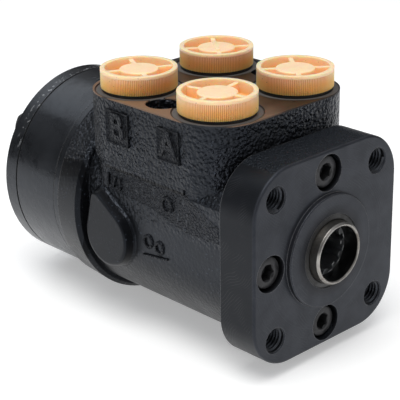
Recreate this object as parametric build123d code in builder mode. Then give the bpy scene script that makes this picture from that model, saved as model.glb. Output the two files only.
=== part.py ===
from build123d import *
import math
import os

# Orbital steering unit
# Millimetres. X is to the right, Y runs back along the shaft, Z is up.
# The origin is the centre of the front mounting face, on the shaft axis.

# Clearances
running = 0.03          # a turning fit, on the radius
still = 0.05            # between pieces that stay together, on the radius
end_gap = 0.05          # beside a turning face
loose = 0.3             # where a piece may wander

# Front cover
cover_rim = 1.5
cover_thk = 18.0
cover_corner_r = 19.5
cover_edge = 1.0
pilot_r = 23.4
pilot_height = 2.3
pilot_edge = 0.5
column_pcd = 82.55
column_hole_r = 5.0
column_hole_depth = 16.0
hole_rim = 0.5
screw_circle_r = 32.0
screw_angles = (90, 180, 270)
counterbore_r = 7.5
counterbore_depth = 9.5

# Metric M8 fasteners
m8_r = 4.0
m8_clear_r = 4.2
cap_head_r = 6.5
cap_head_height = 8.0
cap_key = 6.0
cap_key_depth = 4.5
cap_screw_length = 20.0
hex_across_flats = 13.0
hex_head_height = 5.3
hex_bolt_length = 50.0
washer_r = 7.2
washer_thk = 1.6
drill_over = 2.0

# Spool neck and its seals
neck_r = 12.7
neck_out = 6.5
neck_clear = 0.3
seal_clear = 0.08
wiper_r = 15.2
wiper_depth = 2.2
gland_r = 16.5
gland_y = 8.0
gland_width = 5.0
ring_groove_r = 24.0
ring_section = 2.2
ring_groove_depth = 1.8

# Thrust bearing
race_thk = 1.6
race_r = 21.2
race_bore_r = 13.4
needle_dia = 2.0
needle_length = 5.0
needle_circle_r = 17.4
needle_count = 16
cage_thk = 1.4
cage_bore_r = 14.0
cage_r = 20.8
pocket_clear = 0.1
bearing_gap = 0.02

# Valve bore, sleeve and spool
bore_r = 18.0
sleeve_bore_r = 13.5
spool_bore_r = 10.3
spool_rear_short = 7.0
groove_stations = (42.0, 56.0, 70.0, 92.0)
housing_groove_depth = 2.5
housing_groove_width = 5.0
sleeve_groove_depth = 1.2
sleeve_groove_width = 3.6
sleeve_hole_r = 1.4
holes_a_row = 6
slot_depth = 1.3
slot_width = 2.6
slot_length = 12.0
slots_a_row = 6

# Splined input
mouth_r = 11.15
mouth_depth = 7.0
mouth_edge = 0.7
mouth_lip = 0.5
spline_teeth = 12
spline_tip_r = 8.75
spline_root_r = 10.5
spline_length = 25.0
spline_root_width = 3.2
spline_tip_width = 1.7

# Leaf springs between spool and sleeve
lag_deg = 10.0
leaf_y = 31.0
leaf_width = 8.0
leaf_slot_half = 2.6
leaf_thk = 0.4
flat_thk = 0.5
leaf_rise = 1.15
ring_wall = 0.95
ring_margin = 1.5

# Cross pin
pin_y = 84.0
pin_r = 4.0
pin_edge = 0.5

# Drive shaft
shaft_r = 6.5
fork_r = 9.4
fork_front = 5.0
fork_cheek = 3.5
fork_back = 8.0
fork_neck = 13.0
fork_floor = 1.2
fork_edge = 1.0
head_length = 10.0
head_tip_r = 10.4
head_root_r = 8.6
head_crown = 0.5
head_flat = 4.0
head_tooth_root = 2.3
head_tooth_tip = 1.7
head_neck = 4.0

# Metering set, seven lobes outside and six inside
lobes = 7
lobe_r = 6.5
lobe_circle_r = 30.4
orbit_e = 2.9
chamber_clear = 0.2
mesh_clear = 0.09
stator_r = 43.8
stator_width = 26.5
stator_edge = 0.5
rotor_spline_tip_r = 9.3
rotor_spline_root_r = 10.9
rotor_tooth_root = 2.6
rotor_tooth_tip = 1.9
outline_steps = 168
plug_r = 9.0
plug_gap = 0.8

# Rear stack
bolt_circle_r = 32.6
plate_thk = 4.7
plate_r = 43.9
plate_bore_r = 12.5
end_cover_thk = 7.9
end_cover_edge = 0.3
face_ring_r = 39.3
face_ring_width = 1.7
face_ring_depth = 1.5
ring_corner = 0.4
feed_circle_r = 26.5
feed_r = 2.6
feed_depth = 13.0
thread_depth = 12.2

# Check ball under the top bolt
ball_r = 3.5
ball_lift = 1.5
ball_bore_r = 3.6
ball_throat_r = 2.0
ball_throat_depth = 4.0
stop_r = 2.0
stop_seat = 8.0
stop_out = 5.4

# Housing
body_half = 39.4
body_corner_r = 30.0
body_rear_y = 111.8
flange_front_y = 97.4
rear_flange_r = 46.4
rear_flange_back_r = 45.4
flange_edge = 1.6
block_front_y = 19.1
block_rear_y = 103.4
block_corner_r = 19.2
block_floor_z = 25.9
port_face_z = 53.3
ledge = 0.8
shoulder_z = 22.0
shoulder_rise = 8.0
shoulder_slope = 40.0
boss_rise = 4.6
boss_y = 82.5
boss_z = -6.0
boss_r = 12.5
boss_tip_y = 88.0
boss_tip_z = 8.5
boss_tip_r = 3.5
boss_height = 7.0
boss_slope = -18.0
boss_edge = 1.6

# Ports
port_x = 22.0
port_mid_y = 60.5
port_half_y = 22.7
port_thread_r = 10.48
port_depth = 17.3
port_step = 1.0         # each port goes this much deeper than the one before
port_rim = 0.8
relief_r = 11.2
relief_width = 1.2
spot_r = 17.9
spot_depth = 0.4
passage_r = 2.2
block_bolt_x = 29.7
block_bolt_mouth_r = 7.0
block_bolt_mouth = 5.0
block_bolt_r = 5.0
block_bolt_depth = 18.0

# Transport plugs
cap_r = 15.75
cap_gap = 1.0
cap_height = 7.9
cap_wall = 1.9
cap_floor = 3.0
cap_edge = 0.4
hub_r = 8.0
hub_drop = 0.7
rib_width = 1.9
stem_length = 7.5
stem_wall = 2.2
seal_r = 15.2
seal_slack = 0.6
plug_turn_a = 12.5
plug_turn_b = 62.5
plug_turn_p = 50.5
plug_turn_t = 52.5

# Worked out from the sizes above
column_half = column_pcd / 2 / math.sqrt(2)
block_half_x = body_half + ledge
boss_face_x = -(body_half + boss_rise)
cover_side = 2 * (screw_circle_r + counterbore_r + cover_rim)
rear_face_y = body_rear_y
plate_rear_y = rear_face_y + plate_thk
stator_rear_y = plate_rear_y + stator_width
cover_rear_y = stator_rear_y + end_cover_thk
needles_y = cover_thk + race_thk + bearing_gap
race_rear_y = needles_y + needle_dia + bearing_gap
sleeve_front_y = race_rear_y + race_thk
sleeve_rear_y = rear_face_y - end_gap
sleeve_r = bore_r - running
spool_r = sleeve_bore_r - running
spool_rear_y = sleeve_rear_y - spool_rear_short
spline_front_y = mouth_depth - neck_out
spline_rear_y = spline_front_y + spline_length
chamber_r = lobe_circle_r - lobe_r + 2 * orbit_e + chamber_clear
rotor_mid_y = plate_rear_y + stator_width / 2
shaft_length = math.hypot(rotor_mid_y - pin_y, orbit_e)
shaft_dir = (0, (rotor_mid_y - pin_y) / shaft_length, -orbit_e / shaft_length)
pin_slot_half = pin_r + loose + spool_r * math.sin(math.radians(lag_deg))
leaf_half = math.sqrt((sleeve_r - ring_wall - still) ** 2 - leaf_slot_half ** 2) - still
first_bolt = 90
half_lobe = 180 / lobes
half_tooth = 180 / spline_teeth
top_bolt_x = -bolt_circle_r * math.cos(math.radians(first_bolt))
top_bolt_z = bolt_circle_r * math.sin(math.radians(first_bolt))
rotor_turn = (first_bolt - 90) * lobes / (lobes - 1)
port_front_y = port_mid_y - port_half_y
port_back_y = port_mid_y + port_half_y
bolt_tip_y = cover_rear_y + washer_thk - hex_bolt_length
ball_y = bolt_tip_y - stop_out - ball_lift - ball_r - still
ball_seat_y = ball_y - ball_r * math.sqrt(2) + ball_throat_r - running


def facing_front(y):
    # local x is X, local y is Z, and the normal points to -Y
    return Plane.XZ.offset(-y)


def facing_rear(y, z=0):
    # local x is -X, local y is Z, and the normal points to +Y
    return Plane(origin=(0, y, z), x_dir=(-1, 0, 0), z_dir=(0, 1, 0))


def turn(profile, plane=Plane.XY, mode=Mode.ADD):
    # turns (radius, along) corners about the plane's own y axis
    with BuildSketch(plane) as section:
        with BuildLine():
            Polyline(*profile, close=True)
        make_face()
    revolve(section.sketch, axis=Axis(plane.origin, plane.y_dir), mode=mode)


def ring(inner, outer, start, end, mode=Mode.ADD):
    turn([(inner, start), (outer, start), (outer, end), (inner, end)], mode=mode)


def soft_ring(inner, outer, start, end):
    # a rubber ring pressed into its groove, with broken corners
    turn([(inner + ring_corner, start), (outer - ring_corner, start), (outer, start + ring_corner),
          (outer, end - ring_corner), (outer - ring_corner, end), (inner + ring_corner, end),
          (inner, end - ring_corner), (inner, start + ring_corner)])


def bore_at_bolts(plane, radius, depth, mode=Mode.SUBTRACT):
    with BuildSketch(plane) as section:
        with PolarLocations(bolt_circle_r, lobes, start_angle=first_bolt):
            Circle(radius)
    extrude(section.sketch, amount=depth, mode=mode)


def tooth(root_r, tip_r, root_width, tip_width, mode=Mode.ADD):
    # one straight-sided tooth, its middle on the local x axis
    Polygon((root_r, -root_width / 2), (tip_r, -tip_width / 2), (tip_r, tip_width / 2),
            (root_r, root_width / 2), align=None, mode=mode)


def save(piece, name):
    piece.part.label = name
    export_step(piece.part, "parts/" + name + ".step")


os.makedirs("parts", exist_ok=True)


# Front cover with the column flange and the pilot
with BuildPart() as front_cover:
    with BuildSketch(facing_front(0)):
        RectangleRounded(cover_side, cover_side, cover_corner_r)
    extrude(amount=-cover_thk)
    fillet(front_cover.edges().group_by(Axis.Y)[0], cover_edge)
    with BuildSketch(facing_front(0)):
        Circle(pilot_r)
    extrude(amount=pilot_height)
    chamfer(front_cover.edges().group_by(Axis.Y)[0], pilot_edge)
    turn([(0, -pilot_height), (wiper_r, -pilot_height), (wiper_r, wiper_depth),
          (neck_r + neck_clear, wiper_depth), (neck_r + neck_clear, gland_y),
          (gland_r, gland_y), (gland_r, gland_y + gland_width),
          (neck_r + neck_clear, gland_y + gland_width), (neck_r + neck_clear, cover_thk),
          (0, cover_thk)], mode=Mode.SUBTRACT)
    ring(ring_groove_r, ring_groove_r + ring_section, cover_thk - ring_groove_depth, cover_thk,
         mode=Mode.SUBTRACT)
    with BuildSketch(facing_front(0)):
        for angle in screw_angles:
            with PolarLocations(screw_circle_r, 1, start_angle=angle):
                Circle(counterbore_r)
    extrude(amount=-counterbore_depth, mode=Mode.SUBTRACT)
    with BuildSketch(facing_front(0)):
        for angle in screw_angles:
            with PolarLocations(screw_circle_r, 1, start_angle=angle):
                Circle(m8_clear_r)
    extrude(amount=-cover_thk, mode=Mode.SUBTRACT)
    with BuildSketch(facing_front(0)):
        with GridLocations(2 * column_half, 2 * column_half, 2, 2):
            Circle(column_hole_r)
    extrude(amount=-column_hole_depth, mode=Mode.SUBTRACT)
    with BuildSketch(facing_front(0)):
        with GridLocations(2 * column_half, 2 * column_half, 2, 2):
            Circle(column_hole_r + hole_rim)
    extrude(amount=-hole_rim, taper=45, mode=Mode.SUBTRACT)
save(front_cover, "front_cover")


# Housing, one casting with the valve bore, the ports and the rear flange
with BuildPart() as housing:
    with BuildSketch(facing_rear(cover_thk)):
        RectangleRounded(2 * body_half, 2 * body_half, body_corner_r)
    extrude(amount=rear_face_y - cover_thk)
    with BuildSketch(Plane.XY):
        block_mid_y = (block_front_y + block_rear_y) / 2
        with Locations((0, block_mid_y)):
            RectangleRounded(2 * body_half, block_rear_y - block_front_y - 2 * ledge,
                             block_corner_r - ledge)
    extrude(amount=block_floor_z)
    # the body runs on under the block's front corners and slopes up to them
    with BuildSketch(Plane.XY):
        with Locations((0, (cover_thk + port_mid_y) / 2)):
            Rectangle(2 * body_half, port_mid_y - cover_thk)
    extrude(amount=shoulder_z)
    with BuildSketch(Plane.XY.offset(shoulder_z)):
        with Locations((0, (cover_thk + port_mid_y) / 2)):
            Rectangle(2 * body_half, port_mid_y - cover_thk)
    extrude(amount=shoulder_rise, taper=shoulder_slope)
    with BuildSketch(Plane.XY.offset(block_floor_z)):
        with Locations((0, block_mid_y)):
            RectangleRounded(2 * block_half_x, block_rear_y - block_front_y, block_corner_r)
    extrude(amount=port_face_z - block_floor_z)
    with BuildSketch(Plane.YZ.offset(boss_face_x)):
        with BuildLine():
            CenterArc((boss_y, boss_z), boss_r, 0, 360)
            CenterArc((boss_tip_y, boss_tip_z), boss_tip_r, 0, 360)
        make_hull()
    extrude(amount=boss_height, taper=boss_slope)
    fillet(housing.faces().sort_by(Axis.X)[0].edges(), boss_edge)
    turn([(0, flange_front_y), (rear_flange_r - flange_edge, flange_front_y),
          (rear_flange_r, flange_front_y + flange_edge), (rear_flange_back_r, rear_face_y),
          (0, rear_face_y)])
    # valve bore with its annular grooves and the bearing recess
    ring(0, bore_r, cover_thk, rear_face_y, mode=Mode.SUBTRACT)
    ring(0, race_r + loose, cover_thk, sleeve_front_y + loose, mode=Mode.SUBTRACT)
    for station in groove_stations:
        ring(0, bore_r + housing_groove_depth, station - housing_groove_width / 2,
             station + housing_groove_width / 2, mode=Mode.SUBTRACT)
    ring(face_ring_r, face_ring_r + face_ring_width, rear_face_y - face_ring_depth, rear_face_y,
         mode=Mode.SUBTRACT)
    # threads for the cover screws and the end bolts
    with BuildSketch(facing_front(cover_thk)):
        for angle in screw_angles:
            with PolarLocations(screw_circle_r, 1, start_angle=angle):
                Circle(m8_r + still)
    screw_reach = cap_screw_length + counterbore_depth - cover_thk
    extrude(amount=-(screw_reach + drill_over), mode=Mode.SUBTRACT)
    bore_at_bolts(facing_rear(rear_face_y), m8_r + still, -thread_depth)
    # feed holes to the metering set
    with BuildSketch(facing_rear(rear_face_y)):
        with PolarLocations(feed_circle_r, lobes, start_angle=first_bolt + half_lobe):
            Circle(feed_r)
    extrude(amount=-feed_depth, mode=Mode.SUBTRACT)
    # bore, seat and throat of the check ball, ahead of the top bolt
    ball_axis = Plane(origin=(top_bolt_x, 0, top_bolt_z))
    turn([(0, rear_face_y - thread_depth), (ball_bore_r, rear_face_y - thread_depth),
          (ball_bore_r, ball_seat_y + ball_bore_r - ball_throat_r), (ball_throat_r, ball_seat_y),
          (ball_throat_r, ball_seat_y - ball_throat_depth), (0, ball_seat_y - ball_throat_depth)],
         plane=ball_axis, mode=Mode.SUBTRACT)
    # ports and the bolt holes for a valve block
    with BuildSketch(Plane.XY.offset(port_face_z)):
        with Locations((0, port_mid_y)):
            with GridLocations(2 * port_x, 2 * port_half_y, 2, 2):
                Circle(spot_r)
    extrude(amount=-spot_depth, mode=Mode.SUBTRACT)
    with BuildSketch(Plane.XY.offset(port_face_z - spot_depth)):
        with Locations((0, port_mid_y)):
            with GridLocations(2 * port_x, 2 * port_half_y, 2, 2):
                Circle(port_thread_r + port_rim)
    extrude(amount=-port_rim, taper=45, mode=Mode.SUBTRACT)
    # each port has a relief below the plug and a drilling down to its own ring groove
    groove_r = bore_r + housing_groove_depth
    for step, (x, y, station) in enumerate(((-port_x, port_front_y, groove_stations[0]),
                                            (-port_x, port_back_y, groove_stations[2]),
                                            (port_x, port_front_y, groove_stations[1]),
                                            (port_x, port_back_y, groove_stations[3]))):
        depth = port_depth + step * port_step
        with BuildSketch(Plane.XY.offset(port_face_z)):
            with Locations((x, y)):
                Circle(port_thread_r)
        extrude(amount=-depth, mode=Mode.SUBTRACT)
        with BuildSketch(Plane.XY.offset(port_face_z - stem_length)):
            with Locations((x, y)):
                Circle(relief_r)
        extrude(amount=-relief_width, mode=Mode.SUBTRACT)
        port_floor = Vector(x, y, port_face_z - depth)
        groove_side = math.copysign(groove_r / math.sqrt(2), x)
        passage = Vector(groove_side, station, groove_r / math.sqrt(2)) - port_floor
        with BuildSketch(Plane(origin=port_floor - passage.normalized() * passage_r, z_dir=passage)):
            Circle(passage_r)
        extrude(amount=passage.length + passage_r, mode=Mode.SUBTRACT)
    with BuildSketch(Plane.XY.offset(port_face_z)):
        with Locations((-block_bolt_x, port_mid_y), (block_bolt_x, port_mid_y)):
            Circle(block_bolt_mouth_r)
    extrude(amount=-block_bolt_mouth, mode=Mode.SUBTRACT)
    with BuildSketch(Plane.XY.offset(port_face_z)):
        with Locations((-block_bolt_x, port_mid_y), (block_bolt_x, port_mid_y)):
            Circle(block_bolt_r)
    extrude(amount=-block_bolt_depth, mode=Mode.SUBTRACT)
save(housing, "housing")


# Socket head screws of the front cover
with BuildPart() as cap_screw:
    with BuildSketch(Plane.XY):
        Circle(cap_head_r)
    extrude(amount=cap_head_height)
    chamfer(cap_screw.edges().group_by(Axis.Z)[-1], hole_rim)
    with BuildSketch(Plane.XY.offset(cap_head_height)):
        RegularPolygon(cap_key / 2, 6, major_radius=False)
    extrude(amount=-cap_key_depth, mode=Mode.SUBTRACT)
    with BuildSketch(Plane.XY):
        Circle(m8_r)
    extrude(amount=-cap_screw_length)
    chamfer(cap_screw.edges().group_by(Axis.Z)[0], pin_edge)
with BuildPart() as cover_screws:
    with Locations(facing_front(counterbore_depth)):
        for angle in screw_angles:
            with PolarLocations(screw_circle_r, 1, start_angle=angle):
                add(cap_screw.part)
save(cover_screws, "cover_screws")


# Seals of the spool neck and the front cover
with BuildPart() as dust_wiper:
    turn([(neck_r + seal_clear, neck_clear - pilot_height), (neck_r + 2 * neck_clear, -pilot_height),
          (wiper_r - still, neck_clear - pilot_height), (wiper_r - still, wiper_depth - still),
          (neck_r + 2 * neck_clear, wiper_depth - still), (neck_r + seal_clear, wiper_depth / 2)])
save(dust_wiper, "dust_wiper")

with BuildPart() as shaft_seal:
    seal_in = neck_r + seal_clear
    seal_out = gland_r - still
    seal_front = gland_y + still
    seal_back = gland_y + gland_width - still
    seal_mid = (seal_front + seal_back) / 2
    seal_waist = (seal_in + seal_out) / 2
    turn([(seal_in, seal_front), (seal_waist, seal_front + neck_clear), (seal_out, seal_front),
          (seal_out - neck_clear, seal_mid), (seal_out, seal_back),
          (seal_waist, seal_back - neck_clear), (seal_in, seal_back),
          (seal_in + neck_clear, seal_mid)])
save(shaft_seal, "shaft_seal")

with BuildPart() as cover_o_ring:
    soft_ring(ring_groove_r + still, ring_groove_r + ring_section - still,
              cover_thk - ring_groove_depth + still, cover_thk - still)
save(cover_o_ring, "cover_o_ring")


# Thrust bearing ahead of the sleeve
with BuildPart() as bearing_race_front:
    ring(race_bore_r, race_r, cover_thk, cover_thk + race_thk)
save(bearing_race_front, "bearing_race_front")

with BuildPart() as needle_thrust_bearing:
    cage_y = needles_y + (needle_dia - cage_thk) / 2
    ring(cage_bore_r, cage_r, cage_y, cage_y + cage_thk)
    with BuildSketch(facing_rear(cage_y)):
        with PolarLocations(needle_circle_r, needle_count):
            Rectangle(needle_length + 2 * pocket_clear, needle_dia + 2 * pocket_clear)
    extrude(amount=cage_thk, mode=Mode.SUBTRACT)
    with Locations(facing_rear(needles_y + needle_dia / 2)):
        with PolarLocations(needle_circle_r, needle_count):
            Cylinder(needle_dia / 2, needle_length, rotation=(0, 90, 0))
save(needle_thrust_bearing, "needle_thrust_bearing")

with BuildPart() as bearing_race_rear:
    ring(race_bore_r, race_r, race_rear_y, sleeve_front_y)
save(bearing_race_rear, "bearing_race_rear")


# Valve sleeve with its rows of holes
with BuildPart() as sleeve:
    ring(sleeve_bore_r, sleeve_r, sleeve_front_y, sleeve_rear_y)
    ring_front = leaf_y - ring_margin
    ring_back = leaf_y + leaf_width + ring_margin
    ring(sleeve_r - ring_wall - still, bore_r, ring_front - still, ring_back + still,
         mode=Mode.SUBTRACT)
    for station in groove_stations:
        ring(sleeve_r - sleeve_groove_depth, bore_r, station - sleeve_groove_width / 2,
             station + sleeve_groove_width / 2, mode=Mode.SUBTRACT)
    for row, station in enumerate(groove_stations):
        row_turn = (row % 2) * 180 / holes_a_row
        with Locations(facing_rear(station)):
            with PolarLocations(sleeve_bore_r, holes_a_row, start_angle=row_turn):
                Cylinder(sleeve_hole_r, sleeve_bore_r, rotation=(0, 90, 0), mode=Mode.SUBTRACT)
    with BuildSketch(Plane.YZ):
        with Locations((pin_y, 0)):
            Circle(pin_r + still)
        with Locations((leaf_y + leaf_width / 2, 0)):
            Rectangle(leaf_width + 2 * still, 2 * leaf_slot_half)
    extrude(amount=bore_r, both=True, mode=Mode.SUBTRACT)
save(sleeve, "sleeve")

with BuildPart() as cross_pin:
    with BuildSketch(Plane.YZ):
        with Locations((pin_y, 0)):
            Circle(pin_r)
    extrude(amount=sleeve_r - loose, both=True)
    chamfer(cross_pin.edges().filter_by(GeomType.CIRCLE), pin_edge)
save(cross_pin, "cross_pin")

with BuildPart() as spring_retaining_ring:
    ring(sleeve_r - ring_wall, sleeve_r - still, ring_front, ring_back)
save(spring_retaining_ring, "spring_retaining_ring")

# Two flat leaves between two pairs of arched ones
with BuildPart() as centering_springs:
    with BuildSketch(facing_rear(leaf_y)):
        for side in (-1, 1):
            with Locations((0, side * flat_thk / 2)):
                Rectangle(2 * leaf_half, flat_thk - still)
            for leaf in (0, 1):
                low = flat_thk + leaf * leaf_thk + still
                high = low + leaf_thk - still
                with BuildLine():
                    ThreePointArc((-leaf_half, side * (low + leaf_rise)), (0, side * low),
                                  (leaf_half, side * (low + leaf_rise)))
                    Line((leaf_half, side * (low + leaf_rise)), (leaf_half, side * (high + leaf_rise)))
                    ThreePointArc((leaf_half, side * (high + leaf_rise)), (0, side * high),
                                  (-leaf_half, side * (high + leaf_rise)))
                    Line((-leaf_half, side * (high + leaf_rise)), (-leaf_half, side * (low + leaf_rise)))
                make_face()
    extrude(amount=leaf_width)
save(centering_springs, "centering_springs")


# Spool with the splined input
with BuildPart() as spool:
    turn([(spool_bore_r, -neck_out), (neck_r, -neck_out), (neck_r, sleeve_front_y),
          (spool_r, sleeve_front_y + loose), (spool_r, spool_rear_y), (spool_bore_r, spool_rear_y)])
    turn([(0, spline_front_y), (spool_bore_r, spline_front_y), (spool_bore_r, spline_rear_y),
          (0, spline_rear_y)])
    ring(0, mouth_r, -neck_out, spline_front_y, mode=Mode.SUBTRACT)
    with BuildSketch(facing_rear(spline_front_y)):
        Circle(spline_root_r)
        with PolarLocations(0, spline_teeth):
            tooth(spline_root_r + still, spline_tip_r, spline_root_width, spline_tip_width,
                  mode=Mode.SUBTRACT)
    extrude(amount=spline_length, mode=Mode.SUBTRACT)
    turn([(neck_r, -neck_out), (neck_r - mouth_edge, -neck_out), (neck_r, mouth_edge - neck_out)],
         mode=Mode.SUBTRACT)
    turn([(mouth_r, -neck_out), (mouth_r + mouth_lip, -neck_out), (mouth_r, mouth_lip - neck_out)],
         mode=Mode.SUBTRACT)
    for row, station in enumerate(groove_stations[:3]):
        row_turn = (row % 2) * 180 / slots_a_row
        with BuildSketch(facing_rear(station - slot_length / 2)):
            with PolarLocations(spool_r, slots_a_row, start_angle=row_turn):
                Rectangle(2 * slot_depth, slot_width)
        extrude(amount=slot_length, mode=Mode.SUBTRACT)
    with BuildSketch(Plane.YZ):
        with Locations((pin_y, 0)):
            SlotOverall(2 * pin_slot_half, 2 * (pin_r + loose), rotation=90)
        with Locations((leaf_y + leaf_width / 2, 0)):
            Rectangle(leaf_width + 2 * loose, 2 * leaf_slot_half)
    extrude(amount=bore_r, both=True, mode=Mode.SUBTRACT)
save(spool, "spool")


# Drive shaft, leaning from the cross pin to the rotor's centre
pin_centre = Vector(0, pin_y, 0)
shaft_plane = Plane(origin=pin_centre, x_dir=(1, 0, 0), z_dir=shaft_dir)
shaft_section = Plane(origin=pin_centre, x_dir=(1, 0, 0), z_dir=(0, -shaft_dir[2], shaft_dir[1]))
fork_plane = Plane(origin=pin_centre, x_dir=shaft_dir, z_dir=(1, 0, 0))
head_front = shaft_length - head_length / 2
head_back = shaft_length + head_length / 2
with BuildPart() as shaft_head:
    with BuildSketch(shaft_plane.offset(head_front)):
        Circle(head_root_r)
        with PolarLocations(0, spline_teeth):
            tooth(head_root_r - head_crown, head_tip_r + head_crown, head_tooth_root, head_tooth_tip)
    extrude(amount=head_length)
    turn([(0, head_front), (head_tip_r - head_crown, head_front),
          (head_tip_r, shaft_length - head_flat / 2), (head_tip_r, shaft_length + head_flat / 2),
          (head_tip_r - head_crown, head_back), (0, head_back)],
         plane=shaft_section, mode=Mode.INTERSECT)
with BuildPart() as drive_shaft:
    turn([(0, -fork_front), (fork_r - fork_edge, -fork_front), (fork_r, fork_edge - fork_front),
          (fork_r, fork_cheek), (fork_r - fork_edge, fork_back), (shaft_r, fork_neck),
          (shaft_r, head_front - head_neck), (head_root_r, head_front), (0, head_front)],
         plane=shaft_section)
    add(shaft_head.part)
    with BuildSketch(fork_plane):
        slot_floor = pin_r + fork_floor
        with Locations(((slot_floor - 2 * fork_front) / 2, 0)):
            Rectangle(slot_floor + 2 * fork_front, 2 * (pin_r + loose))
    extrude(amount=fork_r + loose, both=True, mode=Mode.SUBTRACT)
save(drive_shaft, "drive_shaft")


# Spacer plate with the feed holes
with BuildPart() as spacer_plate:
    ring(plate_bore_r, plate_r, rear_face_y, plate_rear_y)
    bore_at_bolts(facing_rear(rear_face_y), m8_clear_r, plate_thk)
    with BuildSketch(facing_rear(rear_face_y)):
        with PolarLocations(feed_circle_r, lobes, start_angle=first_bolt + half_lobe):
            Circle(feed_r)
    extrude(amount=plate_thk, mode=Mode.SUBTRACT)
    ring(face_ring_r, face_ring_r + face_ring_width, plate_rear_y - face_ring_depth, plate_rear_y,
         mode=Mode.SUBTRACT)
save(spacer_plate, "spacer_plate")


# Stator, a ring with seven lobes that carry the bolts
with BuildPart() as stator_ring:
    with BuildSketch(facing_rear(plate_rear_y)):
        Circle(stator_r)
        Circle(chamber_r, mode=Mode.SUBTRACT)
        with PolarLocations(lobe_circle_r, lobes, start_angle=first_bolt):
            Circle(lobe_r)
        with PolarLocations(bolt_circle_r, lobes, start_angle=first_bolt):
            Circle(m8_clear_r, mode=Mode.SUBTRACT)
    extrude(amount=stator_width)
    chamfer(stator_ring.edges().filter_by(GeomType.CIRCLE).group_by(SortBy.RADIUS)[-1], stator_edge)
save(stator_ring, "stator_ring")


def rotor_point(angle):
    # the lobe centre's path seen from the rotor, moved inwards by the lobe's radius
    path = Vector(lobe_circle_r * math.cos(angle) - orbit_e * math.cos(lobes * angle),
                  lobe_circle_r * math.sin(angle) - orbit_e * math.sin(lobes * angle))
    along = Vector(-lobe_circle_r * math.sin(angle) + lobes * orbit_e * math.sin(lobes * angle),
                   lobe_circle_r * math.cos(angle) - lobes * orbit_e * math.cos(lobes * angle))
    inwards = Vector(-along.Y, along.X).normalized()
    return path + inwards * (lobe_r + mesh_clear)


# Rotor, a six-pointed star that hangs below the axis by the orbit radius
with BuildPart() as rotor:
    # the outline starts on a tip, where the curve is gentle
    tip_angle = math.pi / (lobes - 1)
    outline = [rotor_point(tip_angle + 2 * math.pi * step / outline_steps)
               for step in range(outline_steps)]
    with BuildSketch(facing_rear(plate_rear_y + end_gap, -orbit_e).rotated((0, 0, rotor_turn))):
        with BuildLine():
            Spline(*outline, periodic=True)
        make_face()
    extrude(amount=stator_width - 2 * end_gap)
    with BuildSketch(facing_rear(plate_rear_y, -orbit_e)):
        Circle(rotor_spline_root_r)
        with PolarLocations(0, spline_teeth, start_angle=half_tooth):
            tooth(rotor_spline_root_r + still, rotor_spline_tip_r, rotor_tooth_root,
                  rotor_tooth_tip, mode=Mode.SUBTRACT)
    extrude(amount=stator_width, mode=Mode.SUBTRACT)
save(rotor, "rotor")

with BuildPart() as rotor_spacer:
    spacer_front = rotor_mid_y + head_length / 2 + plug_gap
    spacer_back = stator_rear_y - 2 * end_gap
    with BuildSketch(facing_rear(spacer_front, -orbit_e)):
        Circle(plug_r)
    extrude(amount=spacer_back - spacer_front)
    chamfer(rotor_spacer.edges().group_by(Axis.Y)[0], pin_edge)
save(rotor_spacer, "rotor_spacer")


# End cover
with BuildPart() as end_cover:
    with BuildSketch(facing_rear(stator_rear_y)):
        Circle(stator_r)
    extrude(amount=end_cover_thk)
    chamfer(end_cover.edges().group_by(Axis.Y)[0], stator_edge)
    chamfer(end_cover.edges().group_by(Axis.Y)[-1], end_cover_edge)
    bore_at_bolts(facing_rear(stator_rear_y), m8_clear_r, end_cover_thk)
    ring(face_ring_r, face_ring_r + face_ring_width, stator_rear_y, stator_rear_y + face_ring_depth,
         mode=Mode.SUBTRACT)
save(end_cover, "end_cover")


# Face seals of the rear stack
with BuildPart() as housing_o_ring:
    soft_ring(face_ring_r + still, face_ring_r + face_ring_width - still,
              rear_face_y - face_ring_depth + still, rear_face_y - still)
save(housing_o_ring, "housing_o_ring")

with BuildPart() as stator_o_ring:
    soft_ring(face_ring_r + still, face_ring_r + face_ring_width - still,
              plate_rear_y - face_ring_depth + still, plate_rear_y - still)
save(stator_o_ring, "stator_o_ring")

with BuildPart() as end_cover_o_ring:
    soft_ring(face_ring_r + still, face_ring_r + face_ring_width - still,
              stator_rear_y + still, stator_rear_y + face_ring_depth - still)
save(end_cover_o_ring, "end_cover_o_ring")


# End bolts, their washers and the check ball
with BuildPart() as hex_bolt:
    with BuildSketch(Plane.XY):
        RegularPolygon(hex_across_flats / 2, 6, major_radius=False)
    extrude(amount=hex_head_height)
    crown_r = hex_across_flats / 2
    turn([(0, 0), (hex_across_flats, 0), (hex_across_flats, hex_head_height / 2),
          (crown_r, hex_head_height), (0, hex_head_height)], plane=Plane.XZ, mode=Mode.INTERSECT)
    with BuildSketch(Plane.XY):
        Circle(m8_r)
    extrude(amount=-hex_bolt_length)
    chamfer(hex_bolt.edges().group_by(Axis.Z)[0], pin_edge)
with BuildPart() as end_bolts:
    with Locations(facing_rear(cover_rear_y + washer_thk)):
        with PolarLocations(bolt_circle_r, lobes - 1, start_angle=first_bolt + 2 * half_lobe,
                            angular_range=360 * (lobes - 1) / lobes):
            add(hex_bolt.part)
save(end_bolts, "end_bolts")

with BuildPart() as ball_stop_bolt:
    with Locations(facing_rear(cover_rear_y + washer_thk)):
        with PolarLocations(bolt_circle_r, 1, start_angle=first_bolt):
            add(hex_bolt.part)
            with Locations((0, 0, -hex_bolt_length)):
                Cylinder(stop_r + running, stop_seat, mode=Mode.SUBTRACT,
                         align=(Align.CENTER, Align.CENTER, Align.MIN))
save(ball_stop_bolt, "ball_stop_bolt")

with BuildPart() as ball_stop_pin:
    turn([(0, bolt_tip_y - stop_out), (stop_r, bolt_tip_y - stop_out), (stop_r, bolt_tip_y + stop_seat),
          (0, bolt_tip_y + stop_seat)], plane=ball_axis)
save(ball_stop_pin, "ball_stop_pin")

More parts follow.
